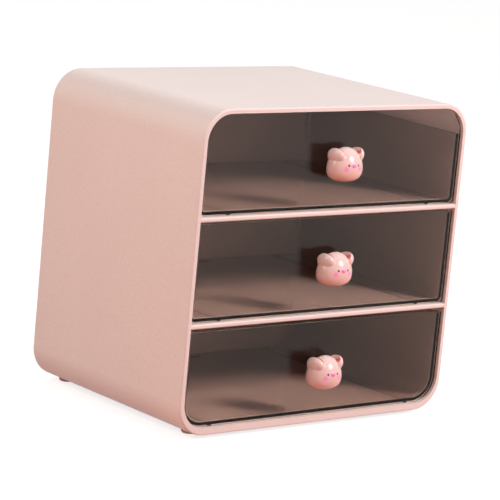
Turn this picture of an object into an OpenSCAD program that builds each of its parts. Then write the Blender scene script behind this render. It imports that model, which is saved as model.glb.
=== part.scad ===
// Three-drawer make-up case for a desk or dressing table.
// A rounded plastic housing stands on four feet, two shelves slide into it from behind,
// a snap-in back closes it, and three smoky clear drawers each carry a pig's-head pull.
// Frame: X to the right, Y to the back, Z up. The origin is on the standing surface,
// under the middle of the whole object with its pulls. All sizes are in millimetres.

/* [Housing] */
// Width of the housing
case_w = 213; // [190:1:260]
// Depth of the housing, rim to back
case_d = 156; // [130:1:220]
// Height of the housing without its feet
case_h = 200; // [180:1:260]
// Outer radius of the four long edges
corner_r = 20; // [12:0.5:26]
// Thickness of the side and top walls
wall = 3; // [2.4:0.1:4]
// Thickness of the floor behind the bottom rim
floor_t = 4.5; // [4:0.1:7]
// Radius on the edges of the rim and the shelves
rim_round = 1; // [0.4:0.1:1.4]
// Depth of the moulded pockets in the underside
pocket_depth = 1.5; // [0.5:0.1:2]
// Width of the ribs between those pockets
pocket_rib = 4; // [2:0.5:10]

/* [Back cover] */
// Thickness of the back cover
cover_t = 2.5; // [1.8:0.1:4]
// Width of the ledge that the cover seats on
cover_ledge = 1.5; // [0.8:0.1:1.8]
// Length of the cover's tabs inside the housing
tab_len = 4.5; // [3:0.1:8]
// Width of each tab
tab_w = 24; // [10:1:36]
// Thickness of each tab
tab_t = 2; // [1.2:0.1:3]
// Radius of the snap bead on the top and bottom tabs
snap_r = 0.8; // [0.5:0.05:1]

/* [Shelves] */
// Thickness of a shelf
shelf_t = 3; // [2.4:0.1:5]
// How far a shelf's tongues reach into the side walls
tongue = 1.2; // [0.6:0.1:1.5]
// Distance from the rim to the front end of the tongues
tongue_start = 8; // [4:0.5:20]

/* [Drawers] */
// Distance of the drawer fronts behind the rim
front_set = 1.8; // [0.5:0.1:6]
// Thickness of a drawer front
front_t = 2.4; // [1.8:0.1:4]
// Radius on the outer edge of a drawer front
front_round = 0.3; // [0.2:0.1:0.9]
// Clearance between a drawer and the housing
drawer_gap = 0.4; // [0.3:0.05:0.8]
// Gap over the middle drawer's front
middle_top_gap = 1.2; // [0.5:0.1:4]
// Gap over the bottom drawer's front
bottom_top_gap = 2.2; // [0.5:0.1:4]
// How far a drawer's sides are set in from the edges of its front
side_set = 0.3; // [0.1:0.1:2]
// Thickness of a drawer's side and rear walls
tray_wall = 2; // [1.4:0.1:3]
// Thickness of a drawer's floor
tray_floor = 1.7; // [1.2:0.1:3]
// How far the middle and bottom side walls end below the front's top
wall_drop = 1.6; // [0.5:0.1:10]
// Inner corner radius of the two upper drawers
tray_r = 2.5; // [1.6:0.1:6]
// Radius inside a drawer where its front meets the floor and the walls
tray_fillet = 1; // [0.5:0.1:1.5]
// Radius of a drawer's rear corners, seen from above
tray_rear_r = 4; // [3.2:0.1:10]
// Height of the runners under a drawer
runner_h = 0.6; // [0.4:0.05:1]
// Width of each runner
runner_w = 3; // [1.5:0.5:6]
// Travel of a drawer up to its stop
pull = 115; // [60:1:118]
// Height of the stop studs on the shelves and the floor
stud_h = 0.55; // [0.3:0.05:0.6]
// Radius of the stop studs
stud_r = 2; // [1:0.1:4]

/* [Pulls] */
// Width of the head without its ears
head_w = 25; // [20:0.5:34]
// Height of the head
head_h = 21; // [18:0.5:30]
// How far the head stands out from the drawer front
head_out = 17.5; // [15:0.5:24]
// Distance from the head's middle to the drawer front
head_seat = 8; // [6:0.5:9]
// How far the head's middle is below the middle of the front
head_drop = 0.6; // [0:0.1:4]
// Thickness of an ear
ear_t = 1.8; // [1.2:0.1:2.6]
// Width of the snout
snout_w = 3.8; // [2.6:0.1:6]
// Height of the snout
snout_h = 2.2; // [1.4:0.1:2.6]
// How far the snout stands out of the face
snout_out = 0.5; // [0.2:0.1:2]
// Nominal diameter of the pull's screw
screw_d = 4; // [3:0.5:5]
// Length of the screw under its head
screw_len = 11; // [9:0.5:12]
// Outer diameter of the threaded insert
insert_d = 5.6; // [5:0.1:7]
// Length of the threaded insert
insert_len = 8; // [5:0.5:9]
// Diameter of the screw's pan head
screw_head_d = 7.6; // [6:0.1:10]
// Height of the screw's pan head
screw_head_h = 2.6; // [1.6:0.1:4]
// Diameter of the washer
washer_d = 9.5; // [8:0.1:12]
// Thickness of the washer
washer_t = 0.8; // [0.5:0.1:1.5]

/* [Feet] */
// Height of the feet under the housing
foot_h = 3; // [2:0.1:8]
// Radius of a foot where it meets the housing
foot_r = 5.5; // [4.5:0.1:8]
// How much narrower a foot is at the ground
foot_taper = 1; // [0:0.1:2]
// Distance of the feet from the housing's sides
foot_in = 22.5; // [20:0.5:40]
// Distance of the front feet from the rim
foot_front = 18; // [10:0.5:50]
// Distance of the rear feet from the back
foot_rear = 8; // [7.5:0.5:50]
// Radius of a foot's peg
peg_r = 2.4; // [1.5:0.1:3]
// Length of a foot's peg
peg_len = 2.6; // [1.5:0.1:3.2]

/* [Hidden] */
$fn = 64;

shell_pink = [0.91, 0.78, 0.75];
pull_pink = [0.93, 0.70, 0.69];
smoke = [0.32, 0.28, 0.25, 0.5];
brass = [0.80, 0.65, 0.35];
steel = [0.72, 0.73, 0.75];

fit = 0.1;          // fixed joints: shelf in groove, peg in hole, cover on ledge
rest_gap = 0.3;     // under a drawer's runners
over = 1;           // how far a cutter runs past what it cuts

// Places along Y: the rim, the back, the drawer fronts and the inner face of the cover
rim_y = (head_out - front_set - case_d) / 2;
back_y = rim_y + case_d;
front_y = rim_y + front_set;
cover_y = back_y - cover_t;
tray_back_y = cover_y - tab_len - drawer_gap;

// Places along Z: the housing's underside and top, and the three bays between the shelves
base_z = foot_h;
top_z = base_z + case_h;
floor_z = base_z + floor_t;
ceil_z = top_z - wall;
bay_h = (ceil_z - floor_z - 2 * shelf_t) / 3;
function bay_z(i) = floor_z + i * (bay_h + shelf_t);

// The housing's inside, and the drawers in it
inner_w = case_w - 2 * wall;
inner_r = corner_r - wall;
edge_r = min(rim_round, wall / 2 - 0.1, shelf_t / 2 - 0.1);
drawer_w = inner_w - 2 * drawer_gap;
drawer_r = inner_r - drawer_gap;
box_w = drawer_w - 2 * side_set;
small_r = 2;        // the square corners of a drawer front
under = rest_gap + runner_h;    // from a shelf up to a drawer's floor
heel_t = 3;         // stop rib under a drawer's rear edge
heel_w = 40;
stud_x = 12;
runner_x = case_w / 2 - corner_r - runner_w - 3;
heel_y = tray_back_y - tray_rear_r - heel_t;
stud_y = heel_y - pull - stud_r - rest_gap;

// Each drawer's values by number, from the bottom one up: 0, 1 and 2
front_top_gap = [bottom_top_gap, middle_top_gap, drawer_gap];
function front_z0(i) = bay_z(i) + drawer_gap;
function front_z1(i) = bay_z(i) + bay_h - front_top_gap[i];
function front_r_low(i) = i == 0 ? drawer_r : small_r;
function front_r_top(i) = i == 2 ? drawer_r : small_r;
function wall_z1(i) = i == 2 ? ceil_z - inner_r : front_z1(i) - wall_drop;
function tray_r_low(i) = i == 0 ? drawer_r - side_set : tray_r + tray_wall;
function head_z(i) = (front_z0(i) + front_z1(i)) / 2 - head_drop;

// ---- shared shapes -------------------------------------------------------------------

// Rectangle in X and Z with round corners: r_top at the two upper ones, which may be 0 for
// square corners, and r_low at the lower ones
module outline(w, z0, z1, r_top, r_low) {
    translate([-w / 2, z0 + r_low]) square([w, z1 - z0 - r_top - r_low]);
    translate([-w / 2 + r_low, z0]) square([w - 2 * r_low, 2 * r_low]);
    for (s = [-1, 1]) translate([s * (w / 2 - r_low), z0 + r_low]) circle(r_low);
    if (r_top > 0) {
        translate([-w / 2 + r_top, z1 - 2 * r_top]) square([w - 2 * r_top, 2 * r_top]);
        for (s = [-1, 1]) translate([s * (w / 2 - r_top), z1 - r_top]) circle(r_top);
    }
}

// That outline, extruded from y0 back to y1
module slab(w, z0, z1, r_top, r_low, y0, y1) {
    translate([0, y1, 0]) rotate([90, 0, 0])
        linear_extrude(y1 - y0) outline(w, z0, z1, r_top, r_low);
}

// Round bead of radius f along the outline, at depth y
module bead(w, z0, z1, r_top, r_low, y, f) {
    for (s = [-1, 1])
        translate([s * w / 2, y, z0 + r_low]) cylinder(r = f, h = z1 - z0 - r_top - r_low);
    translate([-w / 2 + r_top, y, z1]) rotate([0, 90, 0]) cylinder(r = f, h = w - 2 * r_top);
    translate([-w / 2 + r_low, y, z0]) rotate([0, 90, 0]) cylinder(r = f, h = w - 2 * r_low);
    for (c = [[1, 1, 0], [-1, 1, 90], [-1, -1, 180], [1, -1, 270]]) {
        r = c[1] > 0 ? r_top : r_low;
        translate([c[0] * (w / 2 - r), y, c[1] > 0 ? z1 - r : z0 + r])
            rotate([90, 0, 0]) rotate([0, 0, c[2]])
                rotate_extrude(angle = 90) translate([r, 0]) circle(f);
    }
}

// Slab with round edges: radius f0 at its front face, f1 at its rear face
module soft_slab(w, z0, z1, r_top, r_low, y0, y1, f0, f1) {
    slab(w, z0, z1, r_top, r_low, y0 + f0, y1 - f1);
    slab(w - 2 * f0, z0 + f0, z1 - f0, r_top - f0, r_low - f0, y0, y0 + 2 * f0);
    bead(w - 2 * f0, z0 + f0, z1 - f0, r_top - f0, r_low - f0, y0 + f0, f0);
    if (f1 > 0) {
        slab(w - 2 * f1, z0 + f1, z1 - f1, r_top - f1, r_low - f1, y1 - 2 * f1, y1);
        bead(w - 2 * f1, z0 + f1, z1 - f1, r_top - f1, r_low - f1, y1 - f1, f1);
    }
}

// Block from y0 to y1 with round vertical edges at its rear, for trimming in plan
module plan_block(w, y0, y1, z0, z1, r) {
    translate([0, 0, z0]) linear_extrude(z1 - z0) {
        translate([-w / 2, y0]) square([w, y1 - y0 - r]);
        translate([-w / 2 + r, y0]) square([w - 2 * r, y1 - y0]);
        for (s = [-1, 1]) translate([s * (w / 2 - r), y1 - r]) circle(r);
    }
}

// ---- housing -------------------------------------------------------------------------

// The space inside the housing, with the rim's inner edge rounded over
module housing_space() {
    slab(inner_w, floor_z, ceil_z, inner_r, inner_r, rim_y - over, back_y + over);
    difference() {
        slab(inner_w + 2 * edge_r, floor_z - edge_r, ceil_z + edge_r, inner_r + edge_r,
             inner_r + edge_r, rim_y - over, rim_y + edge_r);
        bead(inner_w + 2 * edge_r, floor_z - edge_r, ceil_z + edge_r, inner_r + edge_r,
             inner_r + edge_r, rim_y + edge_r, edge_r);
    }
}

// Grooves in the side walls for the tongues of shelf number i
module shelf_groove(i) {
    reach = inner_w + 2 * (tongue + fit);
    translate([-reach / 2, rim_y + tongue_start - fit, bay_z(i) - shelf_t - fit / 2])
        cube([reach, case_d, shelf_t + fit]);
}

// Pockets in the underside, between ribs
module underside_pockets() {
    cols = 3;
    rows = 2;
    field_w = case_w - 2 * (foot_in + foot_r + 3);
    field_d = case_d - 2 * corner_r;
    step_x = (field_w + pocket_rib) / cols;
    step_y = (field_d + pocket_rib) / rows;
    for (i = [0:cols - 1], j = [0:rows - 1])
        translate([-field_w / 2 + i * step_x, (rim_y + back_y - field_d) / 2 + j * step_y,
                   base_z - over])
            cube([step_x - pocket_rib, step_y - pocket_rib, over + pocket_depth]);
}

// Two studs that a drawer's heel meets when it is pulled right out
module stop_studs(i) {
    for (s = [-1, 1])
        translate([s * stud_x, stud_y, bay_z(i) - fit]) cylinder(r = stud_r, h = stud_h + fit);
}

// Long bead, or its groove, that snaps the cover in: side is 1 for the top, -1 for the floor
module snap_bead(side, x, r) {
    z = side > 0 ? ceil_z - fit - snap_r / 2 : floor_z + fit + snap_r / 2;
    translate([x - tab_w / 2, cover_y - tab_len / 2, z]) rotate([0, 90, 0])
        cylinder(r = r, h = tab_w);
}

tab_x = case_w / 4;

module outer_shell() {
    color(shell_pink) {
        difference() {
            soft_slab(case_w, base_z, top_z, corner_r, corner_r, rim_y, back_y, edge_r, edge_r);
            housing_space();
            // ledge for the back cover
            slab(inner_w + 2 * cover_ledge, floor_z - cover_ledge, ceil_z + cover_ledge,
                 inner_r + cover_ledge, inner_r + cover_ledge, cover_y, back_y + over);
            for (i = [1, 2]) shelf_groove(i);
            for (side = [-1, 1], s = [-1, 1]) snap_bead(side, s * tab_x, snap_r + fit);
            underside_pockets();
            for (p = foot_places) translate([p[0], p[1], base_z - over])
                cylinder(r = peg_r + fit / 2, h = over + peg_len + fit);
        }
        stop_studs(0);
    }
}

module back_cover() {
    w = inner_w + 2 * (cover_ledge - fit);
    r = inner_r + cover_ledge - fit;
    z0 = floor_z - cover_ledge + fit;
    z1 = ceil_z + cover_ledge - fit;
    color(shell_pink) {
        slab(w, z0, z1, r, r, cover_y, back_y);
        // tabs inside the top and the floor, each with its snap bead
        for (s = [-1, 1]) {
            translate([s * tab_x - tab_w / 2, cover_y - tab_len, ceil_z - fit - tab_t])
                cube([tab_w, tab_len + fit, tab_t]);
            translate([s * tab_x - tab_w / 2, cover_y - tab_len, floor_z + fit])
                cube([tab_w, tab_len + fit, tab_t]);
            for (side = [-1, 1]) snap_bead(side, s * tab_x, snap_r);
        }
        // tabs inside the walls, one to a bay
        for (s = [-1, 1], i = [0:2])
            translate([s * (inner_w / 2 - fit - tab_t / 2) - tab_t / 2, cover_y - tab_len,
                       bay_z(i) + (bay_h - tab_w) / 2])
                cube([tab_t, tab_len + fit, tab_w]);
    }
}

// Shelf under bay i: a flat board with a round front edge, a tongue down each side and
// the stop studs of the drawer above it
module shelf(i) {
    z0 = bay_z(i) - shelf_t;
    w = inner_w - fit;
    depth = cover_y - fit - rim_y;
    color(shell_pink) {
        translate([-w / 2, rim_y, z0]) rotate([90, 0, 90]) linear_extrude(w) {
            translate([edge_r, 0]) square([depth - edge_r, shelf_t]);
            translate([0, edge_r]) square([depth, shelf_t - 2 * edge_r]);
            for (z = [edge_r, shelf_t - edge_r]) translate([edge_r, z]) circle(edge_r);
        }
        translate([-inner_w / 2 - tongue, rim_y + tongue_start, z0])
            cube([inner_w + 2 * tongue, depth - tongue_start, shelf_t]);
        stop_studs(i);
    }
}

module upper_shelf() { shelf(2); }
module lower_shelf() { shelf(1); }

// ---- feet ----------------------------------------------------------------------------

foot_x = case_w / 2 - foot_in;
foot_places = [[-foot_x, rim_y + foot_front], [foot_x, rim_y + foot_front],
               [-foot_x, back_y - foot_rear], [foot_x, back_y - foot_rear]];

// Tapered pad with a round lower edge and a peg that plugs into the housing
module foot(k) {
    round_r = 0.8;
    low_r = foot_r - foot_taper;
    color(pull_pink) translate([foot_places[k][0], foot_places[k][1], 0]) {
        rotate_extrude() {
            polygon([[0, 0], [low_r - round_r, 0], [low_r, round_r], [foot_r, foot_h],
                     [0, foot_h]]);
            intersection() {
                translate([low_r - round_r, round_r]) circle(round_r);
                square([low_r, 2 * round_r]);
            }
        }
        cylinder(r = peg_r, h = foot_h + peg_len);
    }
}

module foot_front_left() { foot(0); }
module foot_front_right() { foot(1); }
module foot_rear_left() { foot(2); }
module foot_rear_right() { foot(3); }

// ---- drawers -------------------------------------------------------------------------

// The hollow of drawer i: its front half with the edges behind the front rounded off, and
// its rear half with round corners in plan
module tray_space(i) {
    w = box_w - 2 * tray_wall;
    z0 = bay_z(i) + under + tray_floor;
    r = tray_r_low(i) - tray_wall;
    r_top = tray_fillet + small_r;
    rear_y = tray_back_y - tray_wall;
    half_y = (front_y + rear_y) / 2;
    soft_slab(w, z0, ceil_z, r_top, r, front_y + front_t, half_y + over, tray_fillet, 0);
    intersection() {
        slab(w, z0, ceil_z, r_top, r, half_y, rear_y);
        plan_block(w, half_y - over, rear_y, z0 - over, ceil_z + over, tray_rear_r - tray_wall);
    }
}

// Drawer i, in one piece: a clear front, and a box behind it on two runners and a heel
module tray(i) {
    z0 = bay_z(i) + under;
    color(smoke) difference() {
        union() {
            soft_slab(drawer_w, front_z0(i), front_z1(i), front_r_top(i), front_r_low(i),
                      front_y, front_y + front_t, front_round, 0);
            intersection() {
                slab(box_w, z0, wall_z1(i), 0, tray_r_low(i), front_y + front_t / 2,
                     tray_back_y);
                plan_block(box_w, front_y, tray_back_y, z0 - over, top_z, tray_rear_r);
            }
            for (s = [-1, 1])
                translate([s * runner_x - runner_w / 2, front_y + front_t / 2, z0 - runner_h])
                    cube([runner_w, heel_y + heel_t - front_y - front_t / 2,
                          runner_h + tray_floor / 2]);
            translate([-heel_w / 2, heel_y, z0 - runner_h])
                cube([heel_w, heel_t, runner_h + tray_floor / 2]);
        }
        tray_space(i);
        translate([0, front_y - over, head_z(i)]) rotate([-90, 0, 0])
            cylinder(r = screw_d / 2 + 0.2, h = front_t + 2 * over);
    }
}

module top_tray() { tray(2); }
module middle_tray() { tray(1); }
module bottom_tray() { tray(0); }

// ---- pulls ---------------------------------------------------------------------------

// Semi-axes of the head: half its width, its reach to the front, half its height
head_a = head_w / 2;
head_b = head_out - snout_out - head_seat;
head_c = head_h / 2;
head_n = 32;        // points round the head
head_m = 18;        // rings from pole to pole

// The head is shaped like a steamed bun: widest low down, with a pointed dome and a flat
// bottom. The powers bend a circle's sine and cosine into those two curves.
waist_z = -0.11 * head_h;
dome_power = 1.05;
base_power = 0.76;

function head_ring(v) =
    let (power = v > 0 ? dome_power : base_power,
         reach = v > 0 ? head_c - waist_z : head_c + waist_z,
         r = pow(cos(v), power),
         z = waist_z + reach * sign(v) * pow(abs(sin(v)), power))
    [for (j = [0:head_n - 1])
        [head_a * r * cos(360 * j / head_n), head_b * r * sin(360 * j / head_n), z]];

module head_form() {
    rings = [for (i = [1:head_m - 1]) head_ring(-90 + 180 * i / head_m)];
    points = concat([[0, 0, -head_c]], [for (g = rings) each g], [[0, 0, head_c]]);
    last = len(points) - 1;
    function at(i, j) = 1 + i * head_n + j % head_n;
    polyhedron(points, concat(
        [for (j = [0:head_n - 1]) [0, at(0, j), at(0, j + 1)]],
        [for (i = [0:head_m - 3], j = [0:head_n - 1]) [at(i, j), at(i + 1, j), at(i, j + 1)]],
        [for (i = [0:head_m - 3], j = [0:head_n - 1])
            [at(i, j + 1), at(i + 1, j), at(i + 1, j + 1)]],
        [for (j = [0:head_n - 1]) [last, at(head_m - 2, j + 1), at(head_m - 2, j)]]),
        convexity = 4);
}

// An ear is a flap rooted in the dome, which swings out and hangs down to a tip in front.
// Its outer face is a curved patch on nine points, as shares of the head's semi-axes:
// rows run from the root to the lower edge, columns from the rear edge to the front one.
ear_grid = [[[0.38, 0.42, 0.60], [0.45, 0.12, 0.80], [0.45, -0.13, 0.74]],
            [[0.82, 0.65, 0.77], [1.01, 0.05, 1.20], [1.14, -0.53, 1.03]],
            [[0.85, 0.57, 0.16], [1.12, -0.05, 0.11], [0.76, -0.82, 0.24]]];
ear_n = 8;          // steps each way across the patch
ear_edge = 0.55;    // thickness left at the ear's edges, as a share

function bend(a, b, c, t) = a * (1 - t) * (1 - t) + b * 2 * t * (1 - t) + c * t * t;
function ear_face(u, v) =
    let (rows = [for (g = ear_grid) bend(g[0], g[1], g[2], v)],
         p = bend(rows[0], rows[1], rows[2], u))
    [p[0] * head_a, p[1] * head_b, p[2] * head_c];
function ear_depth(u, v) =
    ear_t * (ear_edge + (1 - ear_edge) * sqrt(sin(180 * v) * cos(90 * u)));
function ear_inside(p, t) = p * (1 - t / norm(p));

module ear(side) {
    n = ear_n + 1;
    steps = [for (i = [0:ear_n], j = [0:ear_n]) [i / ear_n, j / ear_n]];
    outer = [for (q = steps) ear_face(q[0], q[1])];
    inner = [for (k = [0:len(steps) - 1])
                ear_inside(outer[k], ear_depth(steps[k][0], steps[k][1]))];
    function at(layer, i, j) = layer * n * n + i * n + j;
    function two(a, b, c, d) = [[a, c, b], [a, d, c]];
    faces = concat(
        [for (i = [0:ear_n - 1], j = [0:ear_n - 1])
            each two(at(0, i, j), at(0, i, j + 1), at(0, i + 1, j + 1), at(0, i + 1, j))],
        [for (i = [0:ear_n - 1], j = [0:ear_n - 1])
            each two(at(1, i, j), at(1, i + 1, j), at(1, i + 1, j + 1), at(1, i, j + 1))],
        [for (k = [0:ear_n - 1]) each concat(
            two(at(0, 0, k), at(1, 0, k), at(1, 0, k + 1), at(0, 0, k + 1)),
            two(at(0, ear_n, k + 1), at(1, ear_n, k + 1), at(1, ear_n, k), at(0, ear_n, k)),
            two(at(0, k + 1, 0), at(1, k + 1, 0), at(1, k, 0), at(0, k, 0)),
            two(at(0, k, ear_n), at(1, k, ear_n), at(1, k + 1, ear_n), at(0, k + 1, ear_n)))]);
    mirror([side < 0 ? 1 : 0, 0, 0]) polyhedron(concat(outer, inner), faces, convexity = 4);
}

// The snout is a raised oval in the middle of the face
module snout() {
    rotate([90, 0, 0]) linear_extrude(head_b + snout_out) {
        square([snout_w - snout_h, snout_h], center = true);
        for (s = [-1, 1]) translate([s * (snout_w - snout_h) / 2, 0]) circle(d = snout_h);
    }
}

module knob(i) {
    color(pull_pink) difference() {
        translate([0, front_y - head_seat, head_z(i)]) {
            head_form();
            for (s = [-1, 1]) ear(s);
            snout();
        }
        // flat seat against the drawer front, and the insert's hole
        translate([-head_w, front_y, head_z(i) - head_h]) cube([2 * head_w, head_w, 2 * head_h]);
        translate([0, front_y + over, head_z(i)]) rotate([90, 0, 0])
            cylinder(d = insert_d + fit, h = over + insert_len + 2);
    }
}

module top_knob() { knob(2); }
module middle_knob() { knob(1); }
module bottom_knob() { knob(0); }

// Threaded insert: a sleeve with a groove round its middle, moulded into the head
module insert(i) {
    bore = screw_d / 2 + fit / 2;
    outer = insert_d / 2;
    groove = 0.5;
    color(brass) translate([0, front_y, head_z(i)]) rotate([90, 0, 0])
        rotate_extrude() polygon([
            [bore, 0], [outer, 0], [outer, insert_len * 0.4], [outer - groove, insert_len * 0.45],
            [outer - groove, insert_len * 0.55], [outer, insert_len * 0.6],
            [outer, insert_len - groove], [outer - groove, insert_len], [bore, insert_len]]);
}

module top_insert() { insert(2); }
module middle_insert() { insert(1); }
module bottom_insert() { insert(0); }

module washer(i) {
    color(steel) translate([0, front_y + front_t, head_z(i)]) rotate([-90, 0, 0])
        difference() {
            cylinder(d = washer_d, h = washer_t);
            translate([0, 0, -over]) cylinder(r = screw_d / 2 + 0.2, h = washer_t + 2 * over);
        }
}

module top_washer() { washer(2); }
module middle_washer() { washer(1); }
module bottom_washer() { washer(0); }

// Pan-head screw from inside the drawer, with a cross recess in its head
module screw(i) {
    slot_w = 1.2;
    slot_len = screw_head_d * 0.6;
    crown = 0.7;
    color(steel) translate([0, front_y + front_t + washer_t, head_z(i)]) {
        difference() {
            rotate([-90, 0, 0]) rotate_extrude() polygon([
                [0, 0], [screw_head_d / 2, 0], [screw_head_d / 2, screw_head_h - crown],
                [screw_head_d / 2 - crown, screw_head_h], [0, screw_head_h]]);
            translate([-slot_len / 2, screw_head_h / 2, -slot_w / 2])
                cube([slot_len, screw_head_h, slot_w]);
            translate([-slot_w / 2, screw_head_h / 2, -slot_len / 2])
                cube([slot_w, screw_head_h, slot_len]);
        }
        rotate([90, 0, 0]) cylinder(d = screw_d, h = screw_len);
    }
}

module top_screw() { screw(2); }
module middle_screw() { screw(1); }
module bottom_screw() { screw(0); }

// ---- nodes ---------------------------------------------------------------------------

outer_shell();
back_cover();
upper_shelf();
lower_shelf();
foot_front_left();
foot_front_right();
foot_rear_left();
foot_rear_right();
top_tray();
middle_tray();
bottom_tray();
top_knob();
middle_knob();
bottom_knob();
top_insert();
middle_insert();
bottom_insert();
top_washer();
middle_washer();
bottom_washer();
top_screw();
middle_screw();
bottom_screw();
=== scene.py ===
"""Three-drawer make-up case: pink housing, smoky clear drawers and pig's-head pulls."""

import math

import bmesh
import bpy
from mathutils import Matrix, Vector


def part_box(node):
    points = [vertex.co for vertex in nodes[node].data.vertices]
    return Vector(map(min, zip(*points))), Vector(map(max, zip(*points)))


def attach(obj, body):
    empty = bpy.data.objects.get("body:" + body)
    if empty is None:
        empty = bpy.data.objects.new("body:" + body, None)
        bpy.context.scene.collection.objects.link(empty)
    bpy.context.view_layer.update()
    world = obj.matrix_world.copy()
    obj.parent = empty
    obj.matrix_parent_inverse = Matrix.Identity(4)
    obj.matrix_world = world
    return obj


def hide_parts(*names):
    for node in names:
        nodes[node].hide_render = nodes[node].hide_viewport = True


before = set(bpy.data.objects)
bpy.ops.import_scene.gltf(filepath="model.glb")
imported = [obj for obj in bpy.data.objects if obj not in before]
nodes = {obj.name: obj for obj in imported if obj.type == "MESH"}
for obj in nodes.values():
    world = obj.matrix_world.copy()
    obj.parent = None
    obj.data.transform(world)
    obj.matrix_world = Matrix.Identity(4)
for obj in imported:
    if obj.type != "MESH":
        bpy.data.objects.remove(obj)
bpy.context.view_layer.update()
scene = bpy.context.scene


# ---- Studio --------------------------------------------------------------------------
# A pale floor and backdrop that the camera sees as plain white, three soft lamps, and the
# camera where the photographer stood: in front, to the left and a little above.
scene.view_settings.view_transform = "Standard"

AMBIENT = 0.44
FLOOR_SIZE = 8.0
FLOOR_SEEN = (0.50, 0.50, 0.50, 1)      # what the camera sees
FLOOR_LIFT = 0.76                       # light added to that, to bring it up to white
FLOOR_BOUNCE = (0.56, 0.17, 0.09, 1)    # what lights the case from below


def seen_directly(tree):
    """1 where the camera sees a surface, also in a reflection or through glass, else 0."""
    path = tree.nodes.new("ShaderNodeLightPath")
    first = tree.nodes.new("ShaderNodeMath")
    first.operation = "MAXIMUM"
    both = tree.nodes.new("ShaderNodeMath")
    both.operation = "MAXIMUM"
    tree.links.new(path.outputs["Is Camera Ray"], first.inputs[0])
    tree.links.new(path.outputs["Is Glossy Ray"], first.inputs[1])
    tree.links.new(first.outputs[0], both.inputs[0])
    tree.links.new(path.outputs["Is Transmission Ray"], both.inputs[1])
    return both.outputs[0]


world = bpy.data.worlds.new("white_backdrop")
scene.world = world
world.use_nodes = True
tree = world.node_tree
tree.nodes.clear()
out = tree.nodes.new("ShaderNodeOutputWorld")
mix = tree.nodes.new("ShaderNodeMixShader")
soft = tree.nodes.new("ShaderNodeBackground")
soft.inputs["Color"].default_value = (1.0, 0.98, 0.97, 1)
soft.inputs["Strength"].default_value = AMBIENT
white = tree.nodes.new("ShaderNodeBackground")
white.inputs["Color"].default_value = (1, 1, 1, 1)
white.inputs["Strength"].default_value = 1.0
tree.links.new(seen_directly(tree), mix.inputs[0])
tree.links.new(soft.outputs[0], mix.inputs[1])
tree.links.new(white.outputs[0], mix.inputs[2])
tree.links.new(mix.outputs[0], out.inputs["Surface"])

bpy.ops.object.select_all(action="DESELECT")
bpy.ops.mesh.primitive_plane_add(size=FLOOR_SIZE, location=(0, 0, 0))
floor = bpy.context.object
floor.name = "studio_floor"
paint = bpy.data.materials.new("studio_floor")
paint.use_nodes = True
tree = paint.node_tree
tree.nodes.clear()
out = tree.nodes.new("ShaderNodeOutputMaterial")
mix = tree.nodes.new("ShaderNodeMixShader")
bounce = tree.nodes.new("ShaderNodeBsdfDiffuse")
bounce.inputs["Color"].default_value = FLOOR_BOUNCE
seen = tree.nodes.new("ShaderNodeBsdfDiffuse")
seen.inputs["Color"].default_value = FLOOR_SEEN
lift = tree.nodes.new("ShaderNodeEmission")
lift.inputs["Strength"].default_value = FLOOR_LIFT
add = tree.nodes.new("ShaderNodeAddShader")
tree.links.new(seen.outputs[0], add.inputs[0])
tree.links.new(lift.outputs[0], add.inputs[1])
tree.links.new(seen_directly(tree), mix.inputs[0])
tree.links.new(bounce.outputs[0], mix.inputs[1])
tree.links.new(add.outputs[0], mix.inputs[2])
tree.links.new(mix.outputs[0], out.inputs["Surface"])
floor.data.materials.append(paint)

LAMP_AIM = Vector((0, 0, 0.1))    # the middle of the case


def lamp(name, towards, distance, side, watts, tint=(1, 1, 1)):
    """A square soft box that shines at the middle of the case."""
    data = bpy.data.lights.new(name, "AREA")
    data.shape = "SQUARE"
    data.size = side
    data.energy = watts
    data.color = tint
    box = bpy.data.objects.new(name, data)
    scene.collection.objects.link(box)
    way = Vector(towards).normalized()
    box.location = LAMP_AIM + way * distance
    box.rotation_mode = "QUATERNION"
    box.rotation_quaternion = way.to_track_quat("Z", "Y")


lamp("key", (0.50, -0.72, 0.50), distance=1.7, side=0.33, watts=21)
lamp("fill", (-0.87, -0.06, 0.49), distance=0.95, side=0.4, watts=3.2, tint=(1, 0.95, 0.84))
lamp("top", (-0.1, -0.2, 0.97), distance=1.6, side=0.7, watts=0.4)

CAMERA_AT = (-1.06458, -1.26353, 0.42145)
CAMERA_TURN = (-39.984, 11.076, 5.359)    # azimuth, elevation and roll in degrees
CAMERA_LENS, CAMERA_SENSOR = 190.04, 36

azimuth, elevation, roll = map(math.radians, CAMERA_TURN)
back = Vector((math.sin(azimuth) * math.cos(elevation),
               -math.cos(azimuth) * math.cos(elevation), math.sin(elevation)))
right = Vector((math.cos(azimuth), math.sin(azimuth), 0))
up = back.cross(right)
side_axis = math.cos(roll) * right + math.sin(roll) * up
up_axis = math.cos(roll) * up - math.sin(roll) * right
camera_data = bpy.data.cameras.new("camera")
camera_data.lens = CAMERA_LENS
camera_data.sensor_width = CAMERA_SENSOR
camera_data.clip_start, camera_data.clip_end = 0.05, 50
camera = bpy.data.objects.new("camera", camera_data)
scene.collection.objects.link(camera)
camera.matrix_world = Matrix.Translation(CAMERA_AT) @ Matrix(
    (side_axis, up_axis, back)).transposed().to_4x4()
scene.camera = camera


# ---- Housing -------------------------------------------------------------------------
# The shell, its snap-in back and the two shelves are one satin ABS, moulded in dusty pink.
# The tool left a fine spark-eroded grain on every outer face.
HOUSING_PINK = (0.850, 0.690, 0.660, 1)
HOUSING_PALE = (0.875, 0.718, 0.692, 1)
SHADE = 0.8    # how bright a darker speck or cloud is, as a share of its own colour


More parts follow.
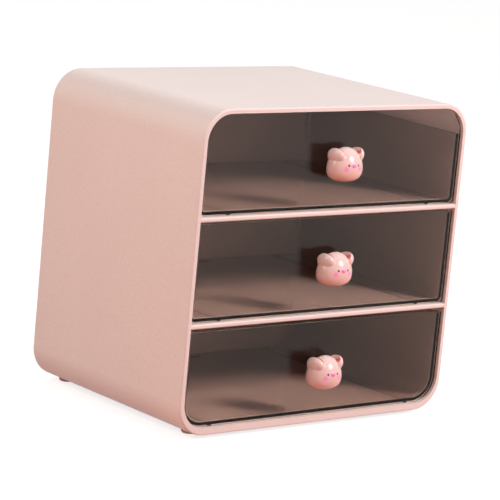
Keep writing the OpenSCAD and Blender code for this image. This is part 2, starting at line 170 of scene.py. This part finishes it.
def grain_group():
    """Moulded grain: a fine speckle, wide clouds, and the normal that the speckle gives."""
    g = bpy.data.node_groups.new("moulded_grain", "ShaderNodeTree")
    g.interface.new_socket("Fineness", in_out="INPUT", socket_type="NodeSocketFloat")
    g.interface.new_socket("Depth", in_out="INPUT", socket_type="NodeSocketFloat")
    g.interface.new_socket("Speckle", in_out="OUTPUT", socket_type="NodeSocketFloat")
    g.interface.new_socket("Cloud", in_out="OUTPUT", socket_type="NodeSocketFloat")
    g.interface.new_socket("Normal", in_out="OUTPUT", socket_type="NodeSocketVector")
    into = g.nodes.new("NodeGroupInput")
    outof = g.nodes.new("NodeGroupOutput")
    where = g.nodes.new("ShaderNodeTexCoord")
    fine = g.nodes.new("ShaderNodeTexNoise")
    fine.inputs["Detail"].default_value = 3
    cloud = g.nodes.new("ShaderNodeTexNoise")
    cloud.inputs["Scale"].default_value = 14
    cloud.inputs["Detail"].default_value = 2
    bump = g.nodes.new("ShaderNodeBump")
    bump.inputs["Distance"].default_value = 0.0002
    g.links.new(where.outputs["Object"], fine.inputs["Vector"])
    g.links.new(where.outputs["Object"], cloud.inputs["Vector"])
    g.links.new(into.outputs["Fineness"], fine.inputs["Scale"])
    g.links.new(into.outputs["Depth"], bump.inputs["Strength"])
    g.links.new(fine.outputs["Fac"], bump.inputs["Height"])
    g.links.new(fine.outputs["Fac"], outof.inputs["Speckle"])
    g.links.new(cloud.outputs["Fac"], outof.inputs["Cloud"])
    g.links.new(bump.outputs["Normal"], outof.inputs["Normal"])
    return g


moulded_grain = grain_group()


def spread(tree, source, low, high, from_low=0.3, from_high=0.7):
    """source from from_low..from_high brought to low..high."""
    r = tree.nodes.new("ShaderNodeMapRange")
    r.inputs["From Min"].default_value = from_low
    r.inputs["From Max"].default_value = from_high
    r.inputs["To Min"].default_value = low
    r.inputs["To Max"].default_value = high
    tree.links.new(source, r.inputs["Value"])
    return r.outputs["Result"]


def blend_colours(tree, factor, one, two):
    """Colour one at factor 0 and two at 1. Each is a colour or a socket."""
    m = tree.nodes.new("ShaderNodeMix")
    m.data_type = "RGBA"
    tree.links.new(factor, m.inputs["Factor"])
    for name, value in (("A", one), ("B", two)):
        socket = [s for s in m.inputs if s.name == name and s.type == "RGBA"][0]
        if isinstance(value, bpy.types.NodeSocket):
            tree.links.new(value, socket)
        else:
            socket.default_value = value
    return [s for s in m.outputs if s.type == "RGBA"][0]


def darker(colour):
    """The colour of a darker speck or cloud."""
    return tuple(SHADE * c for c in colour[:3]) + (1,)


def grained(name, rough, fineness, depth, swing=0.05):
    """A material with grain in its roughness and normal. Gives it, its shader and its grain."""
    m = bpy.data.materials.new(name)
    m.use_nodes = True
    tree = m.node_tree
    shader = tree.nodes["Principled BSDF"]
    grain = tree.nodes.new("ShaderNodeGroup")
    grain.node_tree = moulded_grain
    grain.inputs["Fineness"].default_value = fineness
    grain.inputs["Depth"].default_value = depth
    tree.links.new(spread(tree, grain.outputs["Speckle"], rough - swing, rough + swing),
                   shader.inputs["Roughness"])
    tree.links.new(grain.outputs["Normal"], shader.inputs["Normal"])
    return m, shader, grain


def plastic(name, colour, pale, rough, fineness, depth, specks):
    """A moulded plastic with pale clouds in its colour, and darker specks in its grain."""
    m, shader, grain = grained(name, rough, fineness, depth)
    tree = m.node_tree
    clouded = blend_colours(tree, spread(tree, grain.outputs["Cloud"], 0, 1), colour, pale)
    speckled = blend_colours(tree, spread(tree, grain.outputs["Speckle"], 0, specks),
                             clouded, darker(colour))
    tree.links.new(speckled, shader.inputs["Base Color"])
    return m


def dress(names, material):
    """Give CAD pieces one material in place of the one that they came with."""
    for name in names:
        nodes[name].data.materials.clear()
        nodes[name].data.materials.append(material)


housing_plastic = plastic("satin_pink_plastic", HOUSING_PINK, HOUSING_PALE, rough=0.40,
                          fineness=1300, depth=0.45, specks=0.5)
shader = housing_plastic.node_tree.nodes["Principled BSDF"]
shader.inputs["Sheen Weight"].default_value = 0.15
shader.inputs["Sheen Roughness"].default_value = 0.4
dress(("outer_shell", "back_cover", "upper_shelf", "lower_shelf"), housing_plastic)


# ---- Feet ----------------------------------------------------------------------------
# Four tapered pads of soft pink rubber, each moulded in one with a peg that plugs into the
# floor of the housing.
FOOT_PINK = (0.78, 0.56, 0.51, 1)
FOOT_PALE = (0.82, 0.60, 0.55, 1)

dress(("foot_front_left", "foot_front_right", "foot_rear_left", "foot_rear_right"),
      plastic("pink_rubber", FOOT_PINK, FOOT_PALE, rough=0.62, fineness=1800, depth=0.25,
              specks=0.3))


# ---- Drawers -------------------------------------------------------------------------
# Each drawer is one moulding in clear styrene tinted smoky brown, so its thin walls look
# clear and its edges, seen along the wall, look almost black.
SMOKE = (0.60, 0.40, 0.28, 1)
SMOKE_DENSITY = 140
FRONT_THICK, FILLET = 0.0024, 0.0010
CORNER_START = 0.00005    # behind the flat inner face of the front, so that it stays polished
CORNER_TILT = 0.98        # a face that looks straighter to the front or back than this is flat
CORNER_MATT = 0.90

smoky_clear = bpy.data.materials.new("smoky_clear_plastic")
smoky_clear.use_nodes = True
tree = smoky_clear.node_tree
shader = tree.nodes["Principled BSDF"]
shader.inputs["Base Color"].default_value = (0.97, 0.96, 0.95, 1)
shader.inputs["Transmission Weight"].default_value = 1
shader.inputs["IOR"].default_value = 1.38
shader.inputs["Specular Tint"].default_value = (0.3, 0.3, 0.3, 1)
out = tree.nodes["Material Output"]


def compare(tree, source, way, limit):
    """1 where source is GREATER_THAN or LESS_THAN the limit, else 0."""
    test = tree.nodes.new("ShaderNodeMath")
    test.operation = way
    test.inputs[1].default_value = limit
    tree.links.new(source, test.inputs[0])
    return test.outputs[0]


def multiply(tree, one, two):
    """The product of two sockets, or of a socket and a number."""
    product = tree.nodes.new("ShaderNodeMath")
    product.operation = "MULTIPLY"
    tree.links.new(one, product.inputs[0])
    if isinstance(two, bpy.types.NodeSocket):
        tree.links.new(two, product.inputs[1])
    else:
        product.inputs[1].default_value = two
    return product.outputs[0]


# the polish doesn't reach the inner corner behind the front, which shows as a light line
where = tree.nodes.new("ShaderNodeTexCoord")
place = tree.nodes.new("ShaderNodeSeparateXYZ")
facing = tree.nodes.new("ShaderNodeSeparateXYZ")
tree.links.new(where.outputs["Object"], place.inputs[0])
tree.links.new(where.outputs["Normal"], facing.inputs[0])
front_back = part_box("middle_tray")[0][1] + FRONT_THICK
behind = compare(tree, place.outputs["Y"], "GREATER_THAN", front_back + CORNER_START)
before = compare(tree, place.outputs["Y"], "LESS_THAN", front_back + FILLET)
# without its sign, because the normal is turned round where light meets a face from inside
across = tree.nodes.new("ShaderNodeMath")
across.operation = "ABSOLUTE"
tree.links.new(facing.outputs["Y"], across.inputs[0])
curved = compare(tree, across.outputs[0], "LESS_THAN", CORNER_TILT)
corner = multiply(tree, multiply(tree, behind, before), curved)
grain = tree.nodes.new("ShaderNodeGroup")
grain.node_tree = moulded_grain
rough = tree.nodes.new("ShaderNodeMath")
rough.operation = "MAXIMUM"
tree.links.new(spread(tree, grain.outputs["Cloud"], 0.02, 0.06), rough.inputs[0])
tree.links.new(multiply(tree, corner, CORNER_MATT), rough.inputs[1])
tree.links.new(rough.outputs[0], shader.inputs["Roughness"])

# shadow rays go straight through, and the smoke darkens with the way through the plastic
path = tree.nodes.new("ShaderNodeLightPath")
through = tree.nodes.new("ShaderNodeBsdfTransparent")
through.inputs["Color"].default_value = (0.95, 0.95, 0.95, 1)
mix = tree.nodes.new("ShaderNodeMixShader")
tree.links.new(path.outputs["Is Shadow Ray"], mix.inputs[0])
tree.links.new(shader.outputs[0], mix.inputs[1])
tree.links.new(through.outputs[0], mix.inputs[2])
tree.links.new(mix.outputs[0], out.inputs["Surface"])
smoke = tree.nodes.new("ShaderNodeVolumeAbsorption")
smoke.inputs["Color"].default_value = SMOKE
smoke.inputs["Density"].default_value = SMOKE_DENSITY
tree.links.new(smoke.outputs[0], out.inputs["Volume"])
dress(("top_tray", "middle_tray", "bottom_tray"), smoky_clear)


# ---- Pulls ---------------------------------------------------------------------------
# Each drawer has a pull in the shape of a small pig's head, cast in one piece in glossy pink
# resin: a bun-shaped head, two cupped ears and a low oval snout. The eyes, the snout and
# the blushing cheeks are dabbed on by hand.
HEAD_SIZE = (0.0125, 0.0090, 0.0106)
HEAD_RINGS = 32
WAIST = -0.0023
DOME_POWER, BASE_POWER = 1.05, 0.76    # how full the head is above and below its waist
POLE_WIDTH = 1e-6                      # keeps the rings at the poles from vanishing
EAR_AT = (0.0078, -0.0003, 0.0053)
EAR_SIZE = (0.0041, 0.0066, 0.0053)
EAR_TURN = (math.radians(-14), math.radians(24), math.radians(-8))
HOLLOW_AT = (0.0068, -0.0012, 0.0078)
HOLLOW_SIZE = (0.0015, 0.0044, 0.0048)
SNOUT_SIZE = (0.0019, 0.0012, 0.00125)
SNOUT_SINK, SNOUT_UP = 0.0007, 0.0003
CAST_VOXEL = 0.00024
SEAT = 0.0080
HOLE_RADIUS, HOLE_DEPTH = 0.00285, 0.0100    # for the insert


def take(piece):
    """Make one piece the only selected one, and the active one."""
    bpy.ops.object.select_all(action="DESELECT")
    piece.select_set(True)
    bpy.context.view_layer.objects.active = piece


def edit(piece):
    """Turn to edit mode on one piece."""
    take(piece)
    bpy.ops.object.mode_set(mode="EDIT")


def pick(piece, numbers):
    """In edit mode, select the points of a piece with these numbers."""
    bpy.ops.mesh.select_mode(type="VERT")
    bpy.ops.mesh.select_all(action="DESELECT")
    mesh = bmesh.from_edit_mesh(piece.data)
    for point in mesh.verts:
        point.select = point.index in numbers
    mesh.select_flush_mode()
    bmesh.update_edit_mesh(piece.data)


def ball(name, rings, size, at, turn=(0, 0, 0)):
    """An ellipsoid with its place and size in its mesh."""
    bpy.ops.object.select_all(action="DESELECT")
    bpy.ops.mesh.primitive_uv_sphere_add(segments=2 * rings, ring_count=rings, radius=1,
                                         location=at, rotation=turn)
    piece = bpy.context.object
    piece.name = name
    piece.scale = size
    bpy.ops.object.transform_apply(location=True, rotation=True, scale=True)
    return piece


def combine(piece, other, way):
    """Join another piece to this one, or cut it out, and drop the other."""
    take(piece)
    work = piece.modifiers.new("combine", "BOOLEAN")
    work.operation = way
    work.solver = "EXACT"
    work.object = other
    bpy.ops.object.modifier_apply(modifier=work.name)
    bpy.data.objects.remove(other)


def mirrored(side, at):
    """A place given for the +X side of the head, at side 1, or its mirror image at -1."""
    return side * at[0], at[1], at[2]


# the bun: the rings of a ball are moved and widened to a dome over a flatter bottom
head = ball("pig_head", HEAD_RINGS, (1, 1, 1), (0, 0, 0))
angles = [math.pi * (i / HEAD_RINGS - 0.5) for i in range(HEAD_RINGS + 1)]
rings = [{v.index for v in head.data.vertices
          if math.isclose(v.co.z, math.sin(angle), abs_tol=1e-4)} for angle in angles]
edit(head)
for angle, ring in zip(angles, rings):
    above = angle > 0
    power = DOME_POWER if above else BASE_POWER
    tall = HEAD_SIZE[2] + (-WAIST if above else WAIST)
    height = WAIST + math.copysign(tall * abs(math.sin(angle)) ** power, angle)
    wide = max(math.cos(angle), POLE_WIDTH) ** (power - 1)
    pick(head, ring)
    bpy.ops.transform.resize(value=(HEAD_SIZE[0] * wide, HEAD_SIZE[1] * wide, 1),
                             center_override=(0, 0, 0))
    bpy.ops.transform.translate(value=(0, 0, height - math.sin(angle)))
bpy.ops.object.mode_set(mode="OBJECT")

# the ears: each is a lobe hollowed from the front and the top, sunk into the side of the bun
for side in (-1, 1):
    turn = (EAR_TURN[0], side * EAR_TURN[1], side * EAR_TURN[2])
    ear = ball("ear", 24, EAR_SIZE, mirrored(side, EAR_AT), turn)
    hollow = ball("hollow", 24, HOLLOW_SIZE, mirrored(side, HOLLOW_AT), turn)
    combine(ear, hollow, "DIFFERENCE")
    combine(head, ear, "UNION")
snout = ball("snout", 16, SNOUT_SIZE, (0, -HEAD_SIZE[1] + SNOUT_SINK, SNOUT_UP))
combine(head, snout, "UNION")

# cast in one piece: every joint between them runs out smoothly
work = head.modifiers.new("cast", "REMESH")
work.mode = "VOXEL"
work.voxel_size = CAST_VOXEL
bpy.ops.object.modifier_apply(modifier=work.name)
work = head.modifiers.new("even", "SMOOTH")
work.iterations = 16
bpy.ops.object.modifier_apply(modifier=work.name)

# cut flat where it seats on the drawer front, and bored for its insert
edit(head)
bpy.ops.mesh.select_all(action="SELECT")
bpy.ops.mesh.bisect(plane_co=(0, SEAT, 0), plane_no=(0, 1, 0), use_fill=True, clear_outer=True)
bpy.ops.object.mode_set(mode="OBJECT")
bpy.ops.object.select_all(action="DESELECT")
bpy.ops.mesh.primitive_cylinder_add(vertices=48, radius=HOLE_RADIUS, depth=2 * HOLE_DEPTH,
                                    location=(0, SEAT, 0), rotation=(math.pi / 2, 0, 0))
hole = bpy.context.object
bpy.ops.object.transform_apply(location=True, rotation=True, scale=True)
combine(head, hole, "DIFFERENCE")
take(head)
bpy.ops.object.shade_smooth_by_angle(angle=math.radians(50))

# the crown's paler colour is painted light and the chin's deeper colour is painted shade,
# fading between the heights given
SKIN, SKIN_PAINTED_LIGHT, SKIN_PAINTED_SHADE = (0.82, 0.52, 0.49, 1), (0.86, 0.62, 0.59, 1), (0.78, 0.38, 0.31, 1)
PAINTED_SHADE_FADE, PAINTED_LIGHT_FADE = (-0.010, -0.001), (0.000, 0.009)    # heights between which it changes
# the second colour is painted shade: a deep red in each ear's hollow, where shade falls
BLUSH, EAR_PAINTED_SHADE = (0.95, 0.26, 0.60, 1), (0.80, 0.26, 0.25, 1)
EYE, NOSTRIL = (0.060, 0.018, 0.018, 1), (0.55, 0.08, 0.26, 1)

# each dab's paint, softness, centre from the head's middle, and size: the snout, and then the
# cheek, the painted shade in the ear's hollow, the eye and the nostril of the +X side
SNOUT_DAB = (BLUSH, 0.10, (0, -0.0095, 0.0003), (0.0019, 0.0030, 0.00130))
SIDE_DABS = ((BLUSH, 0.42, (0.0054, -0.0080, -0.0019), (0.0015, 0.0030, 0.0015)),
             (EAR_PAINTED_SHADE, 0.12, HOLLOW_AT, tuple(1.2 * s for s in HOLLOW_SIZE)),
             (EYE, 0.12, (0.00375, -0.0085, 0.0005), (0.00066, 0.0030, 0.00066)),
             (NOSTRIL, 0.3, (0.00062, -0.0097, 0.0003), (0.0002, 0.0020, 0.0003)))


def dab_group():
    """A dab of paint: 1 inside an ellipsoid, 0 outside, with a soft edge."""
    g = bpy.data.node_groups.new("dab_of_paint", "ShaderNodeTree")
    for name, kind in (("Place", "NodeSocketVector"), ("Centre", "NodeSocketVector"),
                       ("Size", "NodeSocketVector"), ("Softness", "NodeSocketFloat")):
        g.interface.new_socket(name, in_out="INPUT", socket_type=kind)
    g.interface.new_socket("Mask", in_out="OUTPUT", socket_type="NodeSocketFloat")
    into = g.nodes.new("NodeGroupInput")
    outof = g.nodes.new("NodeGroupOutput")
    away, share, length = (g.nodes.new("ShaderNodeVectorMath") for k in range(3))
    away.operation, share.operation, length.operation = "SUBTRACT", "DIVIDE", "LENGTH"
    inner, outer = (g.nodes.new("ShaderNodeMath") for k in range(2))
    inner.operation, outer.operation = "SUBTRACT", "ADD"
    inner.inputs[0].default_value = outer.inputs[0].default_value = 1
    fade = g.nodes.new("ShaderNodeMapRange")
    fade.interpolation_type = "SMOOTHSTEP"
    fade.inputs["To Min"].default_value, fade.inputs["To Max"].default_value = 1, 0
    g.links.new(into.outputs["Place"], away.inputs[0])
    g.links.new(into.outputs["Centre"], away.inputs[1])
    g.links.new(away.outputs[0], share.inputs[0])
    g.links.new(into.outputs["Size"], share.inputs[1])
    g.links.new(share.outputs[0], length.inputs[0])
    g.links.new(into.outputs["Softness"], inner.inputs[1])
    g.links.new(into.outputs["Softness"], outer.inputs[1])
    g.links.new(length.outputs["Value"], fade.inputs["Value"])
    g.links.new(inner.outputs[0], fade.inputs["From Min"])
    g.links.new(outer.outputs[0], fade.inputs["From Max"])
    g.links.new(fade.outputs["Result"], outof.inputs["Mask"])
    return g


dab_of_paint = dab_group()


def resin_face_and_painted_light(name, middle):
    """Pink resin, paler on top as painted light and deeper at the chin as painted shade, with
    the face dabbed on round middle.
    """
    m, shader, _ = grained(name, rough=0.20, fineness=900, depth=0.02)
    tree = m.node_tree
    where = tree.nodes.new("ShaderNodeTexCoord")
    on_head = tree.nodes.new("ShaderNodeMapping")
    on_head.inputs["Location"].default_value = [-c for c in middle]
    tree.links.new(where.outputs["Object"], on_head.inputs["Vector"])
    parts = tree.nodes.new("ShaderNodeSeparateXYZ")
    tree.links.new(on_head.outputs[0], parts.inputs[0])
    # painted shade deepens the chin, and painted light makes the crown paler
    colour = blend_colours(tree, spread(tree, parts.outputs["Z"], 0, 1, *PAINTED_SHADE_FADE),
                           SKIN_PAINTED_SHADE, SKIN)
    colour = blend_colours(tree, spread(tree, parts.outputs["Z"], 0, 1, *PAINTED_LIGHT_FADE),
                           colour, SKIN_PAINTED_LIGHT)
    dabs = [SNOUT_DAB]
    for side in (-1, 1):
        dabs += [(paint, softness, mirrored(side, centre), size)
                 for paint, softness, centre, size in SIDE_DABS]
    for paint, softness, centre, size in dabs:
        dab = tree.nodes.new("ShaderNodeGroup")
        dab.node_tree = dab_of_paint
        tree.links.new(on_head.outputs[0], dab.inputs["Place"])
        dab.inputs["Centre"].default_value = centre
        dab.inputs["Size"].default_value = size
        dab.inputs["Softness"].default_value = softness
        colour = blend_colours(tree, dab.outputs["Mask"], colour, paint)
    tree.links.new(colour, shader.inputs["Base Color"])
    return m


for drawer in ("top", "middle", "bottom"):
    low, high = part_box(f"{drawer}_insert")
    middle = (0, high[1] - SEAT, (low[2] + high[2]) / 2)
    pull = head.copy()
    pull.data = head.data.copy()
    pull.name = f"{drawer}_pig_head"
    scene.collection.objects.link(pull)
    pull.location = middle
    take(pull)
    bpy.ops.object.transform_apply(location=True, rotation=True, scale=True)
    pull.data.materials.append(resin_face_and_painted_light(f"resin_face_and_painted_light_{drawer}", middle))
    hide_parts(f"{drawer}_knob")
    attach(pull, f"{drawer}_drawer")
bpy.data.objects.remove(head)


# ---- Pull hardware -------------------------------------------------------------------
# A brass insert in each head takes an M4 pan-head screw of zinc-plated steel, with a plain
# washer between the screw's head and the inside of the drawer front.
def metal(name, colour, rough):
    """A bare or plated metal with darker clouds in its colour and a very fine grain."""
    m, shader, grain = grained(name, rough, fineness=3000, depth=0.08, swing=0.08)
    tree = m.node_tree
    shader.inputs["Metallic"].default_value = 1
    clouded = blend_colours(tree, spread(tree, grain.outputs["Cloud"], 0, 1),
                            colour, darker(colour))
    tree.links.new(clouded, shader.inputs["Base Color"])
    return m


brass = metal("machined_brass", (0.62, 0.42, 0.16, 1), rough=0.32)
zinc = metal("zinc_plated_steel", (0.62, 0.63, 0.66, 1), rough=0.28)
for drawer in ("top", "middle", "bottom"):
    dress((f"{drawer}_insert",), brass)
    dress((f"{drawer}_washer", f"{drawer}_screw"), zinc)
